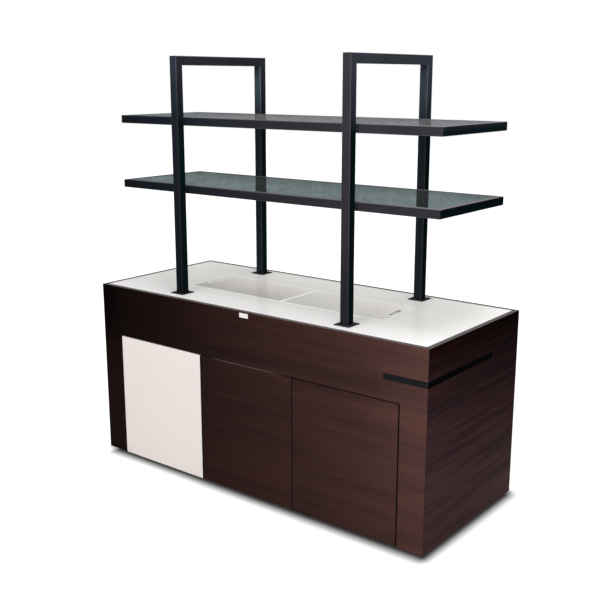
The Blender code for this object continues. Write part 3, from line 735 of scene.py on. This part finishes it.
class BACKBAR_OT_outer_boards(Operator):
    """The dark boards round the cabinet, which stand up as a rim round the top"""

    bl_idname = "backbar.outer_boards"
    bl_label = "Outer boards"

    def execute(self, context):
        rim = edging("rim_edging", colours().rim)
        # Painted shadow of the gap beside the top.
        border = edging("rim_border_edging", colours().gap_shade)
        front = streaked_laminate("front_laminate", "X", front_painted_light)
        right = streaked_laminate("right_end_laminate", "Y", end_painted_light, (0.0, 0.0, 0.0), 1.45, 0.001)
        left = streaked_laminate("left_end_laminate", "Y", end_painted_light, (3.0, 1.0, 2.0), 1.45, 0.001)
        back = streaked_laminate("back_laminate", "X", back_tone, (1.0, 5.0, 4.0))
        board = self.rimmed_board("front_frame", front, rim, border)
        # Painted shade on the doorway's inner edges, where the gaps round the doors are.
        repaint(board, edging("doorway_edging", colours().gap_shade), self.in_doorway)
        self.rimmed_board("right_end_panel", right, rim, border)
        self.rimmed_board("left_end_panel", left, rim, border)
        self.rimmed_board("back_panel", back, rim, border)
        return {"FINISHED"}

    def rimmed_board(self, node, laminate, rim, border):
        """A board with a pale band on its upper edge, and on the front board a painted shadow line beside
        the top, where the gap is.
        """
        piece = merged_copy(node)
        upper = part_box(node)[1].z

        def on_top(centre, normal):
            return on_upper(centre, normal) and upper - centre.z < MERGE

        edit(piece)
        select_faces(piece, on_top)
        bpy.ops.mesh.inset(thickness=sizes().rim_border)
        leave()
        settle(piece, node, laminate, rim, border)
        middle = (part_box(node)[0].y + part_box(node)[1].y) / 2
        for face in piece.data.polygons:
            if on_top(face.center, face.normal):
                # The front board's inner border gets the painted shadow of the gap.
                lined = node == "front_frame" and not face.select and face.center.y > middle
                face.material_index = 2 if lined else 1
        round_edges(piece, sizes().board_round)
        return piece

    def in_doorway(self, centre, normal):
        """True on the front board's inner edges round the doors."""
        low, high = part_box("white_door")[0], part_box("right_door")[1]
        inside = low.x - BESIDE < centre.x < high.x + BESIDE and centre.z < high.z + BESIDE
        return inside and abs(normal.y) < SQUARE_ON


class BACKBAR_OT_doors(Operator):
    """The three flush doors"""

    bl_idname = "backbar.doors"
    bl_label = "Doors"

    def execute(self, context):
        # Painted shade in the gaps: on the doors' edges and along their right-hand edges.
        dark = edging("door_edging", colours().gap_shade)
        top_highlight = painted_edge_highlight("worn_door_edging", "middle_door")
        white = smooth_laminate("white_door_laminate", colours().white_door, 0.30)
        middle = streaked_laminate("middle_door_laminate", "X", front_painted_light, (2.0, 0.0, 7.0))
        right = streaked_laminate("right_door_laminate", "X", front_painted_light, (7.0, 0.0, 1.5))
        self.shadowed_door("white_door", white, white, dark)
        self.shadowed_door("right_door", right, dark, dark)
        door = self.shadowed_door("middle_door", middle, dark, dark)
        # The middle door's upper edge gets the painted highlight.
        repaint(door, top_highlight, on_upper)
        return {"FINISHED"}

    def shadowed_door(self, node, laminate, edge, shadowing):
        """A door with a painted shadow on its right-hand edge, where the gap is."""
        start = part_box(node)[1].x - sizes().door_shadowing
        piece = merged_copy(node)
        edit(piece)
        bpy.ops.mesh.select_all(action="SELECT")
        bpy.ops.mesh.bisect(plane_co=(start, 0.0, 0.0), plane_no=(1.0, 0.0, 0.0))
        leave()
        round_edges(piece, sizes().board_round)
        settle(piece, node, laminate)
        # Painted shade on the edges, where the gaps are; the white door keeps white edges.
        repaint(piece, edge, lambda centre, normal: abs(normal.y) < SQUARE_ON)
        repaint(piece, shadowing, lambda centre, normal: centre.x > start)
        return piece


class BACKBAR_OT_top_and_lids(Operator):
    """The white top, and the two lids with their edging"""

    bl_idname = "backbar.top_and_lids"
    bl_label = "Top and lids"

    def execute(self, context):
        shades = colours()
        # Painted light and shade: the slopes of the top and the lids, and the left lid's darker face.
        white = smooth_laminate("white_top_laminate", shades.white_top, 0.015, (0.0, 0.22, 0.16), 0.006)
        left = smooth_laminate("left_lid_laminate", shades.left_lid, 0.015, (0.0, 1.7, 0.0), 0.005)
        right = smooth_laminate("right_lid_laminate", shades.right_lid, 0.015, (0.35, 1.0, 0.0), 0.005)
        edge = smooth_laminate("white_lid_edging", shades.white_edging, 0.20)
        dress(["countertop"], sizes().top_round, white)
        self.edged_lid("left_lid", left, edge)
        self.edged_lid("right_lid", right, edge)
        return {"FINISHED"}

    def edged_lid(self, node, face, white):
        """A lid whose upper face is set in white edging, round the slot as well."""
        piece = merged_copy(node)
        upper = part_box(node)[1].z
        edit(piece)
        select_faces(piece, lambda centre, normal: on_upper(centre, normal) and upper - centre.z < MERGE)
        bpy.ops.mesh.inset(thickness=sizes().lid_edging, use_boundary=True)
        leave()
        settle(piece, node, white, face)
        for flat in piece.data.polygons:
            flat.material_index = 1 if flat.select else 0
        round_edges(piece, sizes().lid_round)


SLOT_LENGTH = 0.100
SLOT_WIDTH = 0.018
SLOT_FROM_EDGE = 0.037
SLOT_PLAY = 0.0003
SLOT_SIDES = 48


class BACKBAR_OT_finger_pulls(Operator):
    """The white linings of the finger slots in the lids"""

    bl_idname = "backbar.finger_pulls"
    bl_label = "Finger pulls"

    def execute(self, context):
        white = smooth_laminate("finger_pull_white", colours().finger_pull, 0.30)
        for side, sign in (("left", -1), ("right", 1)):
            node = side + "_lid"
            low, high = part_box(node)
            outer = low.x if sign < 0 else high.x
            middle = Vector((outer - sign * SLOT_FROM_EDGE, (low.y + high.y) / 2, high.z))
            piece = self.lining(side + "_finger_pull", middle)
            attach(piece, node, white)
        return {"FINISHED"}

    def lining(self, name, middle):
        """A slot-shaped tube through the lid, with a flange on top of it."""
        group = sizes()
        radius = SLOT_WIDTH / 2 - SLOT_PLAY
        tall = group.pull_depth + group.pull_rise
        deselect()
        bpy.ops.mesh.primitive_cylinder_add(
            vertices=SLOT_SIDES,
            radius=radius,
            depth=tall,
            location=middle + Vector((0.0, 0.0, group.pull_rise - tall / 2)),
            rotation=(0.0, 0.0, math.pi / SLOT_SIDES),
        )
        piece = bpy.context.object
        piece.name = name
        bpy.ops.object.transform_apply()
        edit(piece, "VERT")
        for sign in (-1, 1):
            leave()
            for vertex in piece.data.vertices:
                vertex.select = (vertex.co.y - middle.y) * sign > 0
            bpy.ops.object.mode_set(mode="EDIT")
            bpy.ops.transform.translate(value=(0.0, sign * (SLOT_LENGTH - SLOT_WIDTH) / 2, 0.0))
        bpy.ops.mesh.select_mode(type="FACE")
        select_faces(piece, lambda centre, normal: abs(normal.z) > FACING)
        bpy.ops.mesh.inset(thickness=group.pull_wall)
        bpy.ops.mesh.bridge_edge_loops()
        bpy.ops.mesh.select_all(action="SELECT")
        bpy.ops.mesh.bisect(plane_co=middle, plane_no=(0.0, 0.0, 1.0))
        select_faces(piece, lambda centre, normal: self.on_rim(centre - middle, normal, radius))
        bpy.ops.mesh.extrude_region_shrink_fatten(TRANSFORM_OT_shrink_fatten={"value": group.pull_flange})
        bpy.ops.mesh.select_all(action="SELECT")
        bpy.ops.mesh.normals_make_consistent(inside=False)
        leave()
        round_edges(piece, group.pull_rise / 4)
        return piece

    def on_rim(self, place, normal, radius):
        """True on the outer faces of a lining over the lid."""
        reach = max(abs(place.y) - (SLOT_LENGTH - SLOT_WIDTH) / 2, 0.0)
        outer = math.hypot(place.x, reach) > radius - sizes().pull_wall / 2
        return outer and place.z > 0.0 and abs(normal.z) < FACING


class BACKBAR_OT_wells(Operator):
    """The steel wells under the lids"""

    bl_idname = "backbar.wells"
    bl_label = "Wells"

    def execute(self, context):
        steel = brushed_metal("brushed_steel", colours().steel, "X", 0.30)
        dress(["left_well", "right_well"], sizes().well_round, steel)
        return {"FINISHED"}


class BACKBAR_OT_trim(Operator):
    """The flat strip round the corner and the blank label"""

    bl_idname = "backbar.trim"
    bl_label = "Strip and label"

    def execute(self, context):
        # Painted light: the strip grows lighter to the right, and its face on the end board gets painted
        # shade.
        paint = powder_coat("strip_paint", rightward_painted_light(colours().strip), 0.012)
        shaded = powder_coat("strip_shaded_paint", rightward_painted_light(colours().shaded_strip), 0.0)
        for piece in dress(["corner_strip"], sizes().trim_round, paint):
            repaint(piece, shaded, lambda centre, normal: normal.x > 0.5)
        dress(["label_plate"], sizes().trim_round, smooth_laminate("label_white", colours().label, 0.35))
        return {"FINISHED"}


class BACKBAR_OT_hoops(Operator):
    """The square-tube hoops and their base plates"""

    bl_idname = "backbar.hoops"
    bl_label = "Hoops"

    def execute(self, context):
        plates = [node for node in NODES if node.endswith("_base_plate")]
        dress_tubes("hoop", [node for node in NODES if node.endswith(("_post", "_top_bar"))])
        # Painted light and shade as on the front tubes, with painted highlights on the plates' rounded
        # edges.
        coat = powder_coat("plate_front_coat", hoop_tone("front", "coat"))
        highlighted = powder_coat("plate_front_rubbed_coat", hoop_tone("front", "edge"))
        for piece in dress(plates, sizes().plate_round, coat):
            repaint(piece, highlighted, on_arris)
        head = screw_head(sizes().plate_screw)
        black = brushed_metal("blackened_steel", colours().screw, "Z", 0.45)
        for plate in plates:
            set_screws(plate + "_screws", head, self.screw_places(plate), (0.0, 0.0, 0.0), plate, black)
        bpy.data.objects.remove(head)
        return {"FINISHED"}

    def screw_places(self, plate):
        """The four corners of a base plate, drawn in to its screws."""
        low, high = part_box(plate)
        inset = sizes().plate_screw_inset
        xs = (low.x + inset, high.x - inset)
        ys = (low.y + inset, high.y - inset)
        return [(x, y, high.z) for x in xs for y in ys]


class BACKBAR_OT_glass_shelves(Operator):
    """The shelf rails and the glass in them"""

    bl_idname = "backbar.glass_shelves"
    bl_label = "Glass shelves"

    def execute(self, context):
        dress_tubes("rail", [node for node in NODES if node.endswith("_rail")])
        for node, sheen in (("lower_glass", colours().lower_sheen), ("upper_glass", colours().upper_sheen)):
            dress([node], sizes().glass_arris, tinted_glass(node + "_tint", sheen))
        return {"FINISHED"}


class BACKBAR_OT_inner_boards(Operator):
    """The boards inside the cabinet, and the bearers under the top"""

    bl_idname = "backbar.inner_boards"
    bl_label = "Inner boards"

    def execute(self, context):
        boards = [node for node in NODES if SLOT_OF[node] == "inner_board"]
        bearers = [node for node in NODES if node.endswith("_bearer")]
        dress(boards, sizes().inner_round, smooth_laminate("inner_melamine", colours().melamine, 0.42))
        dress(bearers, sizes().inner_round, planed_timber("bearer_timber"))
        return {"FINISHED"}


HINGE_SHEET = 0.005
HINGE_SCREWS = (0.009, 0.030)


class BACKBAR_OT_fittings(Operator):
    """Hinges with their screws, latches and feet"""

    bl_idname = "backbar.fittings"
    bl_label = "Fittings"

    def execute(self, context):
        radius = sizes().fitting_round
        hinges = [node for node in NODES if node.endswith("_hinge")]
        latches = [node for node in NODES if node.endswith("_latch")]
        tips = [node for node in NODES if node.endswith("_plunger")]
        feet = [node for node in NODES if node.endswith("_foot")]
        plastic = moulded("grey_plastic", colours().plastic, 0.42)
        zinc = brushed_metal("zinc_plate", colours().zinc, "Z", 0.36)
        dress(hinges, radius, zinc)
        head = screw_head(sizes().hinge_screw)
        for hinge in hinges:
            self.screw_hinge(hinge, head, zinc)
        bpy.data.objects.remove(head)
        dress(latches, radius, plastic)
        dress(feet, radius, plastic)
        dress(tips, radius, moulded("black_rubber", colours().rubber, 0.65))
        return {"FINISHED"}

    def screw_hinge(self, hinge, head, finish):
        """Two screws through a hinge's flange into the board beside the door."""
        low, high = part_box(hinge)
        left_hand = not hinge.startswith("right")
        face = low.x + HINGE_SHEET if left_hand else high.x - HINGE_SHEET
        level = (low.z + high.z) / 2
        places = [(face, high.y - reach, level) for reach in HINGE_SCREWS]
        turn = (0.0, math.radians(90 if left_hand else -90), 0.0)
        set_screws(hinge + "_screws", head, places, turn, hinge, finish)


# Stage

CAMERA_PLACE = (2.814, -3.572, 1.993)
CAMERA_TURN = math.radians(38.13)
CAMERA_TILT = math.radians(-13.45)
CAMERA_LENS = 55.8
CAMERA_SENSOR = 36.0
CAMERA_REACH = 100.0
FRONT_LAMP = {"place": (0.2, -4.4, 2.7), "aim": (0.0, 0.0, 0.75), "size": (2.8, 2.2)}
UPPER_LAMP = {"place": (0.8, -0.5, 4.2), "aim": (0.4, -0.1, 0.6), "size": (2.0, 2.4)}
SKY_TINT = (1.0, 0.985, 0.97, 1.0)
WHITE = (1.0, 1.0, 1.0)
FLOOR_SPAN = 40.0
FLOOR_FAR = (1.5, 3.2)
NEAR_GLOW = 0.86
SHADE_SHIFT = (0.039, -0.025)
SHADE_DRAWN_IN = (0.045, 0.030)
SHADE_FADE = (0.078, 0.108)
SHADE_DEPTH = 0.06
CONTACT_FADE = (0.020, 0.020)
CONTACT_DEPTH = 0.6
SEEN_RAYS = ("Is Camera Ray", "Is Glossy Ray", "Is Transmission Ray")


class BACKBAR_OT_stage(Operator):
    """The floor, the light and the camera"""

    bl_idname = "backbar.stage"
    bl_label = "Stage"

    def execute(self, context):
        context.scene.view_settings.view_transform = "Standard"
        settings = context.scene.back_bar_stage
        self.lay_floor(settings)
        self.light_sky(context.scene, settings)
        self.hang_lamp("front_light", settings.front_power, **FRONT_LAMP)
        self.hang_lamp("upper_light", settings.upper_power, **UPPER_LAMP)
        self.set_camera(context.scene)
        return {"FINISHED"}

    def lay_floor(self, settings):
        """A pale floor that looks white, with a painted soft shadow at the foot of the boards."""
        deselect()
        bpy.ops.mesh.primitive_plane_add(size=FLOOR_SPAN)
        floor = bpy.context.object
        floor.name = "floor"
        finish = Finish("pale_floor", Roughness=1.0, Specular_IOR_Level=0.0, Emission_Strength=1.0)
        reach = finish.node("ShaderNodeVectorMath", {"operation": "LENGTH"}, {0: finish.place}, "Value")
        brightness = finish.spread(reach, *FLOOR_FAR, NEAR_GLOW, 1.0)
        clear = self.clear_of_boards(finish)
        seen = finish.rays(*SEEN_RAYS)
        finish.set("Base Color", finish.shade(settings.floor, 1 - seen * (1 - clear)))
        finish.set("Emission Color", finish.shade(WHITE, seen * brightness * clear))
        floor.data.materials.append(finish.material)

    def clear_of_boards(self, finish):
        """Nearly 0 in the painted shadow at the foot of the boards, and 1 away from them."""
        shade = self.past_outline(finish, SHADE_SHIFT, SHADE_DRAWN_IN, SHADE_FADE)
        line = self.past_outline(finish, (0.0, 0.0), (0.0, 0.0), CONTACT_FADE)
        shade = finish.spread(shade, 0.0, 1.0, SHADE_DEPTH, 1.0)
        return shade * finish.spread(line, 0.0, 1.0, CONTACT_DEPTH, 1.0)

    def past_outline(self, finish, shift, drawn_in, fade):
        """How far a place lies outside the boards' outline, as a share of the fade."""
        squares = 0.0
        for axis in (0, 1):
            place = finish.axes()[axis] - shift[axis]
            reach = finish.node("ShaderNodeMath", {"operation": "ABSOLUTE"}, {0: place})
            past = (reach - (CAD_BOX[1][axis] - drawn_in[axis])) * (1 / fade[axis])
            past = finish.node("ShaderNodeMath", {"operation": "MAXIMUM"}, {0: past, 1: 0.0})
            squares = squares + past * past
        return squares ** 0.5

    def light_sky(self, scene, settings):
        """Even light from all round, which looks white behind the object."""
        scene.world = bpy.data.worlds.new("sky")
        scene.world.use_nodes = True
        sky = Nodes(scene.world.node_tree)
        lit = sky.node("ShaderNodeBackground", None, {"Color": SKY_TINT, "Strength": settings.sky})
        white = sky.node("ShaderNodeBackground", None, {"Color": WHITE, "Strength": 1.0})
        inputs = {0: sky.rays(*SEEN_RAYS), 1: lit, 2: white}
        sky.close("World Output", sky.node("ShaderNodeMixShader", None, inputs))

    def hang_lamp(self, name, watts, place, aim, size):
        deselect()
        bpy.ops.object.light_add(type="AREA", location=place)
        lamp = bpy.context.object
        lamp.name = name
        lamp.data.shape = "RECTANGLE"
        lamp.data.size, lamp.data.size_y = size
        lamp.data.energy = watts
        lamp.rotation_euler = (Vector(aim) - Vector(place)).to_track_quat("-Z", "Y").to_euler()

    def set_camera(self, scene):
        deselect()
        bpy.ops.object.camera_add(location=CAMERA_PLACE)
        camera = bpy.context.object
        camera.name = "photo_camera"
        level = Vector((-math.sin(CAMERA_TURN), math.cos(CAMERA_TURN), 0.0))
        ahead = level * math.cos(CAMERA_TILT) + Vector((0.0, 0.0, math.sin(CAMERA_TILT)))
        camera.rotation_euler = ahead.to_track_quat("-Z", "Y").to_euler()
        camera.data.lens = CAMERA_LENS
        camera.data.sensor_width = CAMERA_SENSOR
        camera.data.clip_end = CAMERA_REACH
        scene.camera = camera


PIECE_OPERATORS = (
    BACKBAR_OT_outer_boards,
    BACKBAR_OT_doors,
    BACKBAR_OT_top_and_lids,
    BACKBAR_OT_finger_pulls,
    BACKBAR_OT_wells,
    BACKBAR_OT_trim,
    BACKBAR_OT_hoops,
    BACKBAR_OT_glass_shelves,
    BACKBAR_OT_inner_boards,
    BACKBAR_OT_fittings,
    BACKBAR_OT_stage,
)


class BACKBAR_PT_panel(Panel):
    """Lists the pieces of the back bar"""

    bl_label = "Back bar"
    bl_space_type = "VIEW_3D"
    bl_region_type = "UI"
    bl_category = "Back bar"

    def draw(self, context):
        scene = context.scene
        for operator in PIECE_OPERATORS:
            self.layout.operator(operator.bl_idname)
        for group in (scene.back_bar_sizes, scene.back_bar_colours, scene.back_bar_stage):
            box = self.layout.box()
            for name in group.__annotations__:
                box.prop(group, name)


CLASSES = (BackBarSizes, BackBarColours, BackBarStage, *PIECE_OPERATORS, BACKBAR_PT_panel)


def register():
    for kind in CLASSES:
        bpy.utils.register_class(kind)
    bpy.types.Scene.back_bar_sizes = PointerProperty(type=BackBarSizes)
    bpy.types.Scene.back_bar_colours = PointerProperty(type=BackBarColours)
    bpy.types.Scene.back_bar_stage = PointerProperty(type=BackBarStage)


def unregister():
    del bpy.types.Scene.back_bar_stage
    del bpy.types.Scene.back_bar_colours
    del bpy.types.Scene.back_bar_sizes
    for kind in reversed(CLASSES):
        bpy.utils.unregister_class(kind)


def main():
    register()
    for operator in PIECE_OPERATORS:
        group, name = operator.bl_idname.split(".")
        getattr(getattr(bpy.ops, group), name)()


if __name__ == "__main__":
    main()
